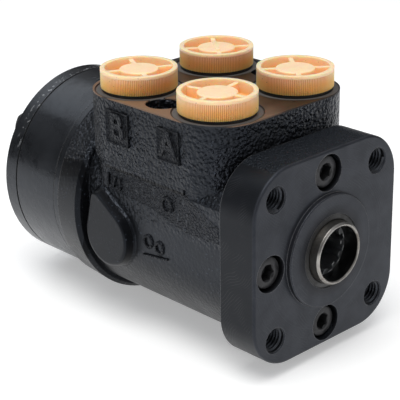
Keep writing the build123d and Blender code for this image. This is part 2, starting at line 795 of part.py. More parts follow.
with BuildPart() as bolt_washers:
    with BuildSketch(facing_rear(cover_rear_y)):
        with PolarLocations(bolt_circle_r, lobes, start_angle=first_bolt):
            Circle(washer_r)
            Circle(m8_clear_r, mode=Mode.SUBTRACT)
    extrude(amount=washer_thk)
save(bolt_washers, "bolt_washers")

with BuildPart() as check_ball:
    with Locations((top_bolt_x, ball_y, top_bolt_z)):
        Sphere(ball_r)
save(check_ball, "check_ball")


# Transport plugs and their seals
def plug(name, x, y, turned):
    base = Plane(origin=(x, y, port_face_z)).rotated((0, 0, turned))
    cap_top = cap_gap + cap_height
    with BuildPart() as port_plug:
        with BuildSketch(base.offset(cap_gap)):
            Circle(cap_r)
        extrude(amount=cap_height)
        chamfer(port_plug.edges().group_by(Axis.Z)[-1], cap_edge)
        with BuildSketch(base.offset(cap_gap)):
            Circle(port_thread_r - 2 * running)
        extrude(amount=-(cap_gap + stem_length))
        chamfer(port_plug.edges().group_by(Axis.Z)[0], pin_edge)
        with BuildSketch(base.offset(-stem_length)):
            Circle(port_thread_r - stem_wall)
        extrude(amount=stem_length + cap_gap, mode=Mode.SUBTRACT)
        with BuildSketch(base.offset(cap_top)):
            Circle(cap_r - cap_wall)
            Circle(hub_r, mode=Mode.SUBTRACT)
            with PolarLocations(0, 2):
                Rectangle(2 * cap_r, rib_width, mode=Mode.SUBTRACT)
            with PolarLocations(0, 2, start_angle=90):
                Rectangle(2 * cap_r, rib_width, mode=Mode.SUBTRACT)
        extrude(amount=cap_floor - cap_height, mode=Mode.SUBTRACT)
        with BuildSketch(base.offset(cap_top)):
            Circle(cap_r - cap_wall)
        extrude(amount=-hub_drop, mode=Mode.SUBTRACT)
    save(port_plug, "port_plug_" + name)
    with BuildPart() as plug_seal:
        with BuildSketch(base.offset(-spot_depth)):
            Circle(seal_r)
            Circle(port_thread_r + seal_slack, mode=Mode.SUBTRACT)
        extrude(amount=spot_depth + cap_gap)
    save(plug_seal, "plug_seal_" + name)


plug("a", -port_x, port_front_y, plug_turn_a)
plug("b", -port_x, port_back_y, plug_turn_b)
plug("p", port_x, port_front_y, plug_turn_p)
plug("t", port_x, port_back_y, plug_turn_t)
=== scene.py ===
import bpy
import bmesh
import math
from mathutils import Matrix, Vector


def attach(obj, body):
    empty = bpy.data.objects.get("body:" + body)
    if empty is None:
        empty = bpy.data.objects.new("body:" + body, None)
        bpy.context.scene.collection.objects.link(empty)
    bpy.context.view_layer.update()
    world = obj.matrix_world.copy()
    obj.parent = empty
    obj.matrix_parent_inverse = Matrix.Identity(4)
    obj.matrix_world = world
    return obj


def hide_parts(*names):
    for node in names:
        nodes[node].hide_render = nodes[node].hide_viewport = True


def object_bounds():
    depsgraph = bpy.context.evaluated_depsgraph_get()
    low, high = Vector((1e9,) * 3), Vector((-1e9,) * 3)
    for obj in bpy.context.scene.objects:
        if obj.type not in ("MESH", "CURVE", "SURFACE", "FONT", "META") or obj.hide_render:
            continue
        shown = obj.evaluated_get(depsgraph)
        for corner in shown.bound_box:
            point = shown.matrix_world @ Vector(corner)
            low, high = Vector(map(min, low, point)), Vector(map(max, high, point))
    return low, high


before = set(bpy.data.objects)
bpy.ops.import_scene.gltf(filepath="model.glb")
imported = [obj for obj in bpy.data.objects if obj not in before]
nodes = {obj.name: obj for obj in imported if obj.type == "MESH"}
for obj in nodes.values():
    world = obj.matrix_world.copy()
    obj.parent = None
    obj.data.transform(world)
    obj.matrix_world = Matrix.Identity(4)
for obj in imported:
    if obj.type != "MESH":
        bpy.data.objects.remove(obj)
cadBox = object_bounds()
mm = 0.001

# camera, light and floor
photoView = {
    "place": (-0.36397, -0.31209, 0.21544), "heading": -43.482, "down": 22.109, "roll": -0.955,
    "focalPixels": 1338.3, "photoWidth": 400, "near": 0.01,
}
studio = {
    "floorColor": (0.82, 0.82, 0.82), "floorGlow": 0.34, "floorWidth": 8, "floorGap": 0.0003,
    "zenith": (0.95, 0.97, 1.0), "zenithAt": 0.95, "horizon": (0.09, 0.092, 0.10), "horizonAt": 0.25,
    "skyStrength": 0.72,
}
lamps = {  # place, aimed at, width and height, watts, colour
    "bigBoxAbove": ((-0.35, -0.10, 1.15), (0, 0.05, 0), (1.0, 0.8), 11.0, (1.0, 0.99, 0.97)),
    "boxBehind": ((0.05, 0.95, 0.95), (0, 0.08, 0), (0.9, 0.5), 1.6, (0.90, 0.95, 1.0)),
    "frontFill": ((0.30, -1.10, 0.35), (0, 0, 0), (0.7, 0.7), 1.6, (1.0, 1.0, 1.0)),
    "leftFill": ((-1.15, 0.45, 0.42), (0, 0.10, 0), (0.6, 0.3), 1.4, (0.92, 0.96, 1.0)),
}


def setCamera():
    camera = bpy.data.cameras.new("photoCamera")
    camera.lens = photoView["focalPixels"] / photoView["photoWidth"] * camera.sensor_width
    camera.clip_start = photoView["near"]
    eye = bpy.data.objects.new("photoCamera", camera)
    bpy.context.collection.objects.link(eye)
    turn = Matrix.Rotation(math.radians(photoView["heading"]), 4, "Z")
    turn = turn @ Matrix.Rotation(math.radians(90 - photoView["down"]), 4, "X")
    turn = turn @ Matrix.Rotation(math.radians(photoView["roll"]), 4, "Z")
    eye.matrix_world = Matrix.Translation(photoView["place"]) @ turn
    bpy.context.scene.camera = eye


def setLamps():
    for name, (place, aim, size, watts, color) in lamps.items():
        lamp = bpy.data.lights.new(name, "AREA")
        lamp.shape = "RECTANGLE"
        lamp.size, lamp.size_y = size
        lamp.energy = watts
        lamp.color = color
        holder = bpy.data.objects.new(name, lamp)
        bpy.context.collection.objects.link(holder)
        holder.location = place
        holder.rotation_euler = (Vector(aim) - Vector(place)).to_track_quat("-Z", "Y").to_euler()


def setSky():
    sky = bpy.data.worlds.new("studioSky")
    bpy.context.scene.world = sky
    sky.use_nodes = True
    tree = sky.node_tree
    back = tree.nodes["Background"]
    back.inputs["Strength"].default_value = studio["skyStrength"]
    where = tree.nodes.new("ShaderNodeTexCoord")
    split = tree.nodes.new("ShaderNodeSeparateXYZ")
    ramp = tree.nodes.new("ShaderNodeValToRGB")
    for stop, name in zip(ramp.color_ramp.elements, ("horizon", "zenith")):
        stop.position = studio[name + "At"]
        stop.color = (*studio[name], 1)
    tree.links.new(where.outputs["Generated"], split.inputs[0])
    tree.links.new(split.outputs["Z"], ramp.inputs[0])
    tree.links.new(ramp.outputs[0], back.inputs["Color"])


def noneSelected():
    if bpy.context.object and bpy.context.object.mode != "OBJECT":
        bpy.ops.object.mode_set(mode="OBJECT")
    bpy.ops.object.select_all(action="DESELECT")


def onlySelected(shape):
    noneSelected()
    bpy.context.view_layer.objects.active = shape
    shape.select_set(True)


def addShape(name, adder, **sizes):
    noneSelected()
    adder(**sizes)
    shape = bpy.context.active_object
    shape.name = name
    shape.data.name = name
    return shape


def makeFloor():
    floor = addShape("studioFloor", bpy.ops.mesh.primitive_plane_add, size=studio["floorWidth"],
                     location=(0, 0, cadBox[0][2] - studio["floorGap"]))
    floor.data.materials.append(finishes["paleFloor"])


# shader building, every place and distance in it is in millimetres
def addNode(tree, kind, inputs=None, **settings):
    made = tree.nodes.new(kind)
    for key, value in settings.items():
        setattr(made, key, value)
    for key, value in (inputs or {}).items():
        if isinstance(value, bpy.types.NodeSocket):
            tree.links.new(value, made.inputs[key])
        else:
            made.inputs[key].default_value = value
    return made


def calc(tree, operation, first, second=0.0, third=0.0):
    return addNode(tree, "ShaderNodeMath", {0: first, 1: second, 2: third}, operation=operation).outputs[0]


def times(tree, first, second):
    return calc(tree, "MULTIPLY", first, second)


def timesPlus(tree, first, second, third):
    return calc(tree, "MULTIPLY_ADD", first, second, third)


def larger(tree, first, second):
    return calc(tree, "MAXIMUM", first, second)


def opposite(tree, mask):
    return calc(tree, "SUBTRACT", 1.0, mask)


def vectorCalc(tree, operation, first, second, output="Vector"):
    return addNode(tree, "ShaderNodeVectorMath", {0: first, 1: second}, operation=operation).outputs[output]


def fade(tree, value, low, high, start=0.0, end=1.0):
    made = addNode(tree, "ShaderNodeMapRange", {0: value, 1: low, 2: high, 3: start, 4: end},
                   interpolation_type="SMOOTHSTEP")
    return made.outputs[0]


def noise(tree, place, scale, detail, roughness=0.5, distortion=0.0):
    return addNode(tree, "ShaderNodeTexNoise", {"Vector": place, "Scale": scale, "Detail": detail,
                                                "Roughness": roughness, "Distortion": distortion}).outputs[0]


def blendColor(tree, amount, first, second):
    made = addNode(tree, "ShaderNodeMix", {0: amount}, data_type="RGBA")
    for socket, value in ((made.inputs[6], first), (made.inputs[7], second)):
        if isinstance(value, bpy.types.NodeSocket):
            tree.links.new(value, socket)
        else:
            socket.default_value = (*value, 1)
    return made.outputs[2]


def fromShaft(tree, place):
    # distance from the shaft's axis
    return vectorCalc(tree, "LENGTH", vectorCalc(tree, "MULTIPLY", place, (1, 0, 1)), (0, 0, 0), "Value")


portGrid = {"x": 22.0, "y": 22.7, "middleY": 60.5}


def fromPort(tree, axis):
    # distance from the nearest port's axis
    dx = calc(tree, "SUBTRACT", calc(tree, "ABSOLUTE", axis["X"]), portGrid["x"])
    fromMiddle = calc(tree, "SUBTRACT", axis["Y"], portGrid["middleY"])
    dy = calc(tree, "SUBTRACT", calc(tree, "ABSOLUTE", fromMiddle), portGrid["y"])
    return calc(tree, "SQRT", calc(tree, "ADD", times(tree, dx, dx), times(tree, dy, dy)))


def newGroup(name, takes, gives):
    # takes Place and the named numbers with their usual values
    group = bpy.data.node_groups.new(name, "ShaderNodeTree")
    group.interface.new_socket(name="Place", in_out="INPUT", socket_type="NodeSocketVector")
    for label, value in takes.items():
        socket = group.interface.new_socket(name=label, in_out="INPUT", socket_type="NodeSocketFloat")
        socket.default_value = value
    for label in gives:
        group.interface.new_socket(name=label, in_out="OUTPUT", socket_type="NodeSocketFloat")
    return group, group.nodes.new("NodeGroupInput").outputs, group.nodes.new("NodeGroupOutput").inputs


def useGroup(tree, name, **inputs):
    return addNode(tree, "ShaderNodeGroup", inputs, node_tree=bpy.data.node_groups[name]).outputs


foundry = {
    "warp": 0.5, "smoothness": 0.35, "fine": 0.95, "fineShare": 0.7, "broad": 0.16, "broadShare": 0.8,
    "pebbleTop": (0.30, 0.08), "bright": (0.52, 0.66),
}


def buildFoundrySkin():
    # pebbles left by the sand, and a mask for painted glints, a painted highlight, on some of their tops
    group, taken, given = newGroup("foundrySkin", {"Pebble": 0.9}, ["Height", "Glint"])
    place = taken["Place"]
    warp = addNode(group, "ShaderNodeTexNoise", {"Vector": place, "Scale": foundry["warp"], "Detail": 2.0})
    moved = vectorCalc(group, "ADD", place, warp.outputs["Color"])
    pebbles = addNode(group, "ShaderNodeTexVoronoi",
                      {"Vector": moved, "Scale": taken["Pebble"], "Smoothness": foundry["smoothness"]},
                      feature="SMOOTH_F1").outputs["Distance"]
    fine = noise(group, place, foundry["fine"], 1.0)
    broad = noise(group, place, foundry["broad"], 2.0)
    height = timesPlus(group, pebbles, -1.0, times(group, fine, foundry["fineShare"]))
    group.links.new(timesPlus(group, broad, foundry["broadShare"], height), given["Height"])
    top = fade(group, pebbles, *foundry["pebbleTop"])
    group.links.new(times(group, top, fade(group, fine, *foundry["bright"])), given["Glint"])


turning = {
    "sweep": {"Scale": 0.35, "Distortion": 9.0, "Detail": 3.0, "Detail Scale": 0.6}, "sweepShare": 0.25,
    "hair": {"Scale": 0.42, "Distortion": 26.0, "Detail": 2.0, "Detail Scale": 0.12},
    "smudge": 0.09, "ringShare": 0.35, "shade": (0.45, 0.9), "hairLine": (0.95, 0.99), "patch": 0.11,
    "patchEdge": (0.47, 0.62),
}


def buildTurnedMarks():
    # fine rings left by turning about the shaft axis, with a few stray scratches
    group, taken, given = newGroup("turnedMarks", {"Pitch": 0.35}, ["Height", "Shade", "Scratch"])
    place = taken["Place"]
    turns = calc(group, "DIVIDE", fromShaft(group, place), taken["Pitch"])
    rings = addNode(group, "ShaderNodeTexNoise", {"W": turns, "Scale": 1.0, "Detail": 3.0},
                    noise_dimensions="1D").outputs[0]
    sweep, hair = [addNode(group, "ShaderNodeTexWave", {"Vector": place, **turning[wave]},
                           bands_direction="DIAGONAL").outputs[1] for wave in ("sweep", "hair")]
    smudge = noise(group, place, turning["smudge"], 5.0, 0.6)
    group.links.new(timesPlus(group, sweep, turning["sweepShare"], rings), given["Height"])
    shade = timesPlus(group, rings, turning["ringShare"], smudge)
    group.links.new(fade(group, shade, *turning["shade"]), given["Shade"])
    patch = fade(group, noise(group, place, turning["patch"], 2.0), *turning["patchEdge"])
    group.links.new(times(group, fade(group, hair, *turning["hairLine"]), patch), given["Scratch"])


def buildWornEdge():
    # broken line of bare metal, Edge is 0 on flats and 1 on a corner
    group, taken, given = newGroup("wornEdge", {"Edge": 0.0, "Amount": 0.5}, ["Mask"])
    level = calc(group, "SUBTRACT", 0.8, times(group, taken["Amount"], 0.5))
    low, high = calc(group, "SUBTRACT", level, 0.12), calc(group, "ADD", level, 0.05)
    broken = fade(group, noise(group, taken["Place"], 0.45, 5.0, 0.7), low, high)
    group.links.new(times(group, taken["Edge"], broken), given["Mask"])


def buildOilFilm():
    # slow clouds of oil and dust
    group, taken, given = newGroup("oilFilm", {"Size": 0.06}, ["Film"])
    cloud = noise(group, taken["Place"], taken["Size"], 6.0, 0.62, 0.4)
    group.links.new(fade(group, cloud, 0.35, 0.68), given["Film"])


finishes = {}
coldSheen = (0.74, 0.83, 1.0, 1.0)  # the black paints reflect a little blue
blackLevel = 0.34  # and less than usual
wornSteel = (0.16, 0.155, 0.15)


def startFinish(name, color, roughness, metallic=0.0, **fixed):
    finish = finishes[name] = bpy.data.materials.new(name)
    finish.use_nodes = True
    finish.diffuse_color = (*color, 1)
    tree = finish.node_tree
    shader = tree.nodes["Principled BSDF"]
    shader.inputs["Base Color"].default_value = (*color, 1)
    shader.inputs["Roughness"].default_value = roughness
    shader.inputs["Metallic"].default_value = metallic
    for key, value in fixed.items():
        shader.inputs[key.replace("_", " ")].default_value = value
    where = addNode(tree, "ShaderNodeTexCoord").outputs["Object"]
    place = addNode(tree, "ShaderNodeVectorMath", {0: where, 3: 1 / mm}, operation="SCALE").outputs[0]
    return tree, shader, place, addNode(tree, "ShaderNodeSeparateXYZ", {0: place}).outputs


def cornerOf(tree, radius):
    # how far a spot is round a corner, and the softened normal
    soft = addNode(tree, "ShaderNodeBevel", {"Radius": radius * mm}, samples=6).outputs[0]
    shape = addNode(tree, "ShaderNodeNewGeometry").outputs["Normal"]
    return fade(tree, vectorCalc(tree, "DOT_PRODUCT", soft, shape, "Value"), 0.995, 0.85), soft


def bumpy(tree, shader, height, depth, normal=None):
    bump = addNode(tree, "ShaderNodeBump", {"Height": height, "Distance": depth * mm, "Strength": 1.0})
    if normal is not None:
        tree.links.new(normal, bump.inputs["Normal"])
    tree.links.new(bump.outputs[0], shader.inputs["Normal"])


def shadeSheen(tree, shader, shade, dark):
    # less is reflected where the mask is 1
    tree.links.new(blendColor(tree, shade, coldSheen[:3], dark), shader.inputs["Specular Tint"])


# pairs are the places on an axis where a fade starts and ends, fours add its two strengths
milledFace = {
    "z": (52.7, 52.85), "ring": ((17.9, 17.4), (15.6, 15.2)), "line": ((18.35, 18.15), (17.95, 17.75)),
    "bronzeReflection": ((0.022, 0.014, 0.010), (0.19, 0.115, 0.070)), "ringColor": (0.11, 0.105, 0.10),
    "lineColor": (0.006, 0.006, 0.006), "sheen": 0.035, "lean": -0.012, "shine": (0.35, 0.95),
    "pricks": [(0.6, 22.0, 53.3), (7.1, 25.1, 53.3)], "prick": (0.75, 0.5),
    "prickColor": (0.003, 0.003, 0.003),
}


def milledColor(tree, place, axis):
    # a bronze painted reflection, brighter towards the left, then a bright ring and a dark line round each
    # port, and two pin pricks
    shine = timesPlus(tree, axis["X"], milledFace["lean"], noise(tree, place, milledFace["sheen"], 3.0))
    color = blendColor(tree, fade(tree, shine, *milledFace["shine"]), *milledFace["bronzeReflection"])
    distance = fromPort(tree, axis)
    for band in ("ring", "line"):
        outer, inner = milledFace[band]
        mask = calc(tree, "SUBTRACT", fade(tree, distance, *outer), fade(tree, distance, *inner))
        color = blendColor(tree, mask, color, milledFace[band + "Color"])
    for prick in milledFace["pricks"]:
        away = vectorCalc(tree, "DISTANCE", place, prick, "Value")
        color = blendColor(tree, fade(tree, away, *milledFace["prick"]), color, milledFace["prickColor"])
    return color


castPaint = {
    "color": (0.006, 0.0065, 0.008), "pebble": 0.62, "corner": 0.7, "depth": 0.95,
    "hollow": (0.0045, 0.005, 0.0062), "paintedGlint": (0.045, 0.055, 0.072), "dusty": (0.009, 0.0085, 0.008),
    "worn": (0.05, 0.046, 0.042), "shaded": (0.05, 0.055, 0.07),
    "calmLow": (14.0, 2.0, 1.0, 0.10), "calmHigh": (18.0, 38.0, 0.45, 1.0),
    "calmFront": (52.0, 40.0, 1.0, 0.75), "bossFoot": (-40.2, -41.5), "bossCalm": 0.1,
    "bossWall": ((-40.3, -40.7), (-43.3, -43.9)), "bossFace": (-43.5, -43.8, 0.0, 0.6),
    "lowSide": (-2.0, -22.0, 0.0, 0.6),
    "ledgeTop": (24.7, 24.3), "ledgeFoot": (23.0, 23.3), "ledgeSide": (-39.3, -39.6),
}


def castBlackFinish():
    # foundry skin with a milled port face
    look = castPaint
    tree, shader, place, axis = startFinish("castBlack", look["color"], 0.3,
                                            Specular_IOR_Level=blackLevel, Specular_Tint=coldSheen)
    x, y, z = axis["X"], axis["Y"], axis["Z"]
    skin = useGroup(tree, "foundrySkin", Place=place, Pebble=look["pebble"])
    film = useGroup(tree, "oilFilm", Place=place, Size=0.05)[0]
    corner, soft = cornerOf(tree, look["corner"])
    face = fade(tree, z, *milledFace["z"])
    # painted highlight: bluish painted glints on the pebble tops of the foundry skin
    color = blendColor(tree, skin["Glint"], look["hollow"], look["paintedGlint"])
    color = blendColor(tree, times(tree, film, 0.35), color, look["dusty"])
    color = blendColor(tree, face, color, milledColor(tree, place, axis))
    worn = useGroup(tree, "wornEdge", Place=place, Edge=corner, Amount=0.25)[0]
    color = blendColor(tree, times(tree, worn, 0.6), color, look["worn"])
    tree.links.new(color, shader.inputs["Base Color"])
    # calmer skin low on the body, at the front and on the boss
    calm = calc(tree, "MINIMUM", fade(tree, z, *look["calmLow"]), fade(tree, z, *look["calmHigh"]))
    calm = times(tree, calm, fade(tree, y, *look["calmFront"]))
    offBoss = opposite(tree, fade(tree, x, *look["bossFoot"]))
    depth = times(tree, times(tree, opposite(tree, face), calm), larger(tree, offBoss, look["bossCalm"]))
    bumpy(tree, shader, times(tree, skin["Height"], depth), look["depth"], soft)
    # the boss's wall and face, the low side and the strip under the ledge lie in the shade
    foot, rim = look["bossWall"]
    shade = times(tree, fade(tree, x, *foot), opposite(tree, fade(tree, x, *rim)))
    shade = larger(tree, shade, fade(tree, z, *look["lowSide"]))
    shade = larger(tree, shade, fade(tree, x, *look["bossFace"]))
    underLedge = times(tree, fade(tree, z, *look["ledgeTop"]), fade(tree, z, *look["ledgeFoot"]))
    shade = larger(tree, shade, times(tree, underLedge, fade(tree, x, *look["ledgeSide"])))
    shadeSheen(tree, shader, shade, look["shaded"])
    rough = timesPlus(tree, face, 0.04, timesPlus(tree, film, 0.12, 0.25))
    tree.links.new(rough, shader.inputs["Roughness"])


coverPaint = {
    "color": (0.010, 0.0102, 0.012), "pebble": 1.25, "pitch": 0.45, "corner": 0.5, "depth": 0.9,
    "milled": ((0.0075, 0.0078, 0.0095), (0.019, 0.0195, 0.0235)), "side": (0.0035, 0.0038, 0.0045),
    "cast": ((0.008, 0.0095, 0.012), (0.085, 0.105, 0.125)), "scratch": (0.03, 0.0305, 0.032),
    "edgeHighlight": (0.13, 0.135, 0.145), "shaded": (0.12, 0.13, 0.15), "lean": -0.18,
    "castAt": (33.6, 35.2), "castFrom": (1.0, 1.9), "sideFrom": (0.6, 1.6), "lowLeft": (30.0, -10.0),
    "neckReflection": (20.5, 15.5), "onPilot": (-0.1, -0.6), "shadeFrom": (0.5, 1.5),
}


def coverFinish():
    # milled front, foundry skin left on the top and the bottom
    look = coverPaint
    tree, shader, place, axis = startFinish("coverBlack", look["color"], 0.42,
                                            Specular_IOR_Level=blackLevel, Specular_Tint=coldSheen)
    x, y, z = axis["X"], axis["Y"], axis["Z"]
    skin = useGroup(tree, "foundrySkin", Place=place, Pebble=look["pebble"])
    marks = useGroup(tree, "turnedMarks", Place=place, Pitch=look["pitch"])
    corner, soft = cornerOf(tree, look["corner"])
    upright = timesPlus(tree, calc(tree, "ABSOLUTE", x), look["lean"], calc(tree, "ABSOLUTE", z))
    cast = times(tree, fade(tree, upright, *look["castAt"]), fade(tree, y, *look["castFrom"]))
    milled = blendColor(tree, marks["Shade"], *look["milled"])
    milled = blendColor(tree, fade(tree, y, *look["sideFrom"]), milled, look["side"])
    # painted highlight: the cast skin on the top and the bottom gets bluish painted glints on its pebbles
    color = blendColor(tree, cast, milled, blendColor(tree, skin["Glint"], *look["cast"]))
    worn = useGroup(tree, "wornEdge", Place=place, Edge=corner, Amount=0.62)[0]
    color = blendColor(tree, times(tree, worn, 0.75), color, wornSteel)
    # painted highlight: a light bluish line on the corners towards the lower left
    edgeHighlight = times(tree, corner, fade(tree, calc(tree, "ADD", x, z), *look["lowLeft"]))
    color = blendColor(tree, times(tree, edgeHighlight, 0.75), color, look["edgeHighlight"])
    scratch = times(tree, marks["Scratch"], opposite(tree, cast))
    tree.links.new(blendColor(tree, scratch, color, look["scratch"]), shader.inputs["Base Color"])
    height = calc(tree, "ADD", times(tree, skin["Height"], cast), times(tree, marks["Height"], 0.02))
    bumpy(tree, shader, height, look["depth"], soft)
    # a painted dark reflection of the neck in a ring round it, and painted shade on the left side
    ring = times(tree, fade(tree, fromShaft(tree, place), *look["neckReflection"]), fade(tree, y, *look["onPilot"]))
    side = fade(tree, y, *look["shadeFrom"])
    shadeSheen(tree, shader, larger(tree, times(tree, ring, 0.8), times(tree, side, 0.45)), look["shaded"])
    tree.links.new(timesPlus(tree, marks["Shade"], -0.08, 0.46), shader.inputs["Roughness"])


stackPaint = {
    "color": (0.004, 0.0042, 0.0048), "thin": (0.003, 0.0032, 0.0036), "thick": (0.009, 0.0095, 0.0105),
    "corner": 0.35, "brush": (0.06, 1.2, 0.06), "depth": 0.10, "seamColor": (0.02, 0.02, 0.02),
    "seams": [(111.8, 0.16), (116.5, 0.22), (143.0, 0.42)],  # y, half width
    "chipColor": (0.20, 0.205, 0.21), "chipFrom": (143.4, 143.7), "chipTo": (147.5, 146.0),
    "chipHigh": (8.0, 30.0),
}


def stackFinish():
    # glossy black paint over turned steel, chipped at the end cover's front edge
    look = stackPaint
    tree, shader, place, axis = startFinish("stackBlack", look["color"], 0.2, Specular_IOR_Level=0.38,
                                            Coat_Weight=0.12, Coat_Roughness=0.1, Specular_Tint=coldSheen)
    y, z = axis["Y"], axis["Z"]
    film = useGroup(tree, "oilFilm", Place=place, Size=0.045)[0]
    corner, soft = cornerOf(tree, look["corner"])
    brushed = noise(tree, vectorCalc(tree, "MULTIPLY", place, look["brush"]), 1.0, 4.0)
    worn = useGroup(tree, "wornEdge", Place=place, Edge=corner, Amount=0.7)[0]
    paint = blendColor(tree, film, look["thin"], look["thick"])
    paint = blendColor(tree, times(tree, worn, 0.45), paint, wornSteel)
    band = times(tree, fade(tree, y, *look["chipFrom"]), fade(tree, z, *look["chipHigh"]))
    band = times(tree, band, fade(tree, y, *look["chipTo"]))
    chips = times(tree, fade(tree, noise(tree, place, 0.55, 4.0, 0.6), 0.57, 0.62), band)
    tree.links.new(blendColor(tree, chips, paint, look["chipColor"]), shader.inputs["Base Color"])
    seams = 0.0
    for middle, half in look["seams"]:
        away = calc(tree, "ABSOLUTE", calc(tree, "SUBTRACT", y, middle))
        seams = larger(tree, fade(tree, away, half + 0.12, half - 0.05), seams)
    shadeSheen(tree, shader, seams, look["seamColor"])
    rough = timesPlus(tree, film, 0.16, timesPlus(tree, brushed, 0.10, 0.13))
    tree.links.new(rough, shader.inputs["Roughness"])
    orangePeel = noise(tree, place, 0.35, 3.0)
    bumpy(tree, shader, timesPlus(tree, brushed, 0.12, orangePeel), look["depth"], soft)


steels = {
    "spoolSteel": {"clean": (0.34, 0.33, 0.31), "oiled": (0.13, 0.115, 0.10), "rough": 0.3, "corner": 0.35},
    "groundSteel": {"clean": (0.62, 0.62, 0.63), "oiled": (0.45, 0.43, 0.40), "rough": 0.22, "corner": 0.3},
    "springSteel": {"clean": (0.22, 0.24, 0.28), "oiled": (0.12, 0.13, 0.17), "rough": 0.3, "corner": 0.3},
}
splinedMouth = {
    # wall: painted shade, the inside of the splined mouth darkened nearly to black; teeth: a lighter steel
    # on the teeth
    "wall": (11.45, 11.2), "wallFrom": (-6.3, -5.9), "wallColor": (0.03, 0.03, 0.03),
    "teeth": (10.9, 10.6), "teethFrom": (0.2, 0.6), "teethColor": (0.40, 0.41, 0.42),
}


def steelFinish(name, look):
    # ground steel with an oily stain
    tree, shader, place, axis = startFinish(name, look["clean"], look["rough"], 1.0)
    marks = useGroup(tree, "turnedMarks", Place=place, Pitch=0.2)
    film = useGroup(tree, "oilFilm", Place=place, Size=0.12)[0]
    corner, soft = cornerOf(tree, look["corner"])
    color = blendColor(tree, film, look["clean"], look["oiled"])
    color = blendColor(tree, times(tree, corner, 0.6), color, (0.75, 0.72, 0.68))
    if name == "spoolSteel":
        # painted shade inside the mouth, then lighter steel on the teeth
        radius = fromShaft(tree, place)
        for part in ("wall", "teeth"):
            reach = fade(tree, axis["Y"], *splinedMouth[part + "From"])
            inside = times(tree, fade(tree, radius, *splinedMouth[part]), reach)
            color = blendColor(tree, inside, color, splinedMouth[part + "Color"])
    tree.links.new(color, shader.inputs["Base Color"])
    tree.links.new(timesPlus(tree, film, 0.18, look["rough"]), shader.inputs["Roughness"])
    bumpy(tree, shader, marks["Height"], 0.02, soft)


screwSteel = {"color": (0.03, 0.03, 0.031), "dark": (0.020, 0.020, 0.021), "light": (0.05, 0.05, 0.053),
              "edge": (0.16, 0.16, 0.16)}


def screwFinish():
    tree, shader, place, axis = startFinish("darkScrews", screwSteel["color"], 0.38, 0.6)
    film = useGroup(tree, "oilFilm", Place=place, Size=0.3)[0]
    corner, soft = cornerOf(tree, 0.25)
    color = blendColor(tree, film, screwSteel["dark"], screwSteel["light"])
    color = blendColor(tree, times(tree, corner, 0.35), color, screwSteel["edge"])
    tree.links.new(color, shader.inputs["Base Color"])
    tree.links.new(timesPlus(tree, film, 0.2, 0.33), shader.inputs["Roughness"])
    bumpy(tree, shader, noise(tree, place, 3.0, 3.0), 0.03, soft)


smallPaints = {
    "markBlack": {"color": (0.0048, 0.005, 0.0058), "roughness": 0.3, "depth": 0.5, "level": blackLevel},
    "bandBlack": {"color": (0.005, 0.005, 0.0056), "roughness": 0.28, "depth": 0.85, "level": blackLevel},
    "threadBlack": {"color": (0.016, 0.016, 0.017), "roughness": 0.3, "depth": 0.02, "level": 0.45},
}
castLetters = {"sheen": (0.42, 0.47, 0.57), "glintSheen": (0.95, 0.95, 1.0), "paintedGlint": (0.10, 0.105, 0.11)}


def smallPaintFinish(name, look):
    # the housing's paint on small pieces
    tree, shader, place, axis = startFinish(name, look["color"], look["roughness"],
                                            Specular_IOR_Level=look["level"], Specular_Tint=coldSheen)
    skin = useGroup(tree, "foundrySkin", Place=place, Pebble=1.1)
    film = useGroup(tree, "oilFilm", Place=place, Size=0.3)[0]
    corner, soft = cornerOf(tree, 0.25)
    color = blendColor(tree, film, look["color"], tuple(1.7 * part for part in look["color"]))
    worn = useGroup(tree, "wornEdge", Place=place, Edge=corner, Amount=0.75)[0]
    color = blendColor(tree, times(tree, worn, 0.3), color, (0.075, 0.078, 0.085))
    if name == "markBlack":
        # dull letters and rings with painted glints, a painted highlight, on their edges
        paintedGlint = times(tree, corner, fade(tree, noise(tree, place, 0.8, 2.0), 0.5, 0.62))
        sheen = blendColor(tree, paintedGlint, castLetters["sheen"], castLetters["glintSheen"])
        tree.links.new(sheen, shader.inputs["Specular Tint"])
        color = blendColor(tree, times(tree, paintedGlint, 0.8), color, castLetters["paintedGlint"])
    tree.links.new(color, shader.inputs["Base Color"])
    tree.links.new(timesPlus(tree, film, 0.15, look["roughness"]), shader.inputs["Roughness"])
    bumpy(tree, shader, skin["Height"], look["depth"], soft)


def rubberFinish():
    tree, shader, place, axis = startFinish("rubber", (0.014, 0.014, 0.014), 0.55)
    film = useGroup(tree, "oilFilm", Place=place, Size=0.25)[0]
    color = blendColor(tree, film, (0.004, 0.004, 0.004), (0.014, 0.0135, 0.013))
    tree.links.new(color, shader.inputs["Base Color"])
    tree.links.new(timesPlus(tree, film, -0.2, 0.62), shader.inputs["Roughness"])


capPlastic = {
    "color": (0.93, 0.56, 0.25), "low": (0.92, 0.50, 0.17), "high": (0.95, 0.70, 0.46), "lightRise": (57.0, 61.6),
    "handled": (0.80, 0.42, 0.18), "scatter": (1.0, 0.42, 0.16), "scatterDepth": 0.004,
    "valleyShade": (0.58, 0.26, 0.07), "valleyShadeRing": ((15.72, 15.42), (15.2, 15.36)), "valleyShadeTop": (61.0, 60.6),
    "speck": (0.16, 0.09, 0.04), "speckSize": (0.70, 0.76), "speckRim": (13.0, 14.2),
}


